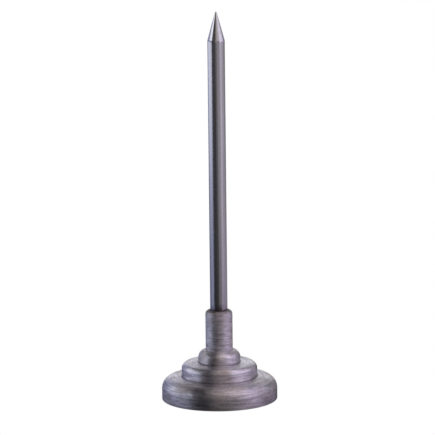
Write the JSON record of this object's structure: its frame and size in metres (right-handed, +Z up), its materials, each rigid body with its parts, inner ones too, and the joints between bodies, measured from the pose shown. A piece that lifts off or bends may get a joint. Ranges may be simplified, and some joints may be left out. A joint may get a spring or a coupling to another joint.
{
  "type": "pricking iron",
  "caption": "Bench pricking iron: a pointed steel spike held upright by a collar on a heavy stepped round foot, with a nut and washers drawn up in a recess under it.",
  "frame": {"origin": "centre of the foot's underside, in the plane of the rim that rests on the bench", "axes": "+Z up along the spike towards its point; the object is round about Z, and +X is the side of the spring washer's split"},
  "size_m": [0.08, 0.08, 0.273],
  "materials": {
    "polished_steel": "ground and polished round bar, with fine lines along the shaft and round the point",
    "turned_steel": "turned grey steel with visible tool marks",
    "cast_iron_grey": "bare grey cast iron, coarsely turned, with casting grain",
    "zinc_plate": "dull zinc plate",
    "spring_steel": "blued spring steel"
  },
  "bodies": {
    "root": {"spike": "polished_steel", "collar": "turned_steel", "stepped_foot": "cast_iron_grey", "plain_washer": "zinc_plate", "spring_washer": "spring_steel", "tail_nut": "zinc_plate"}
  },
  "joints": []
}
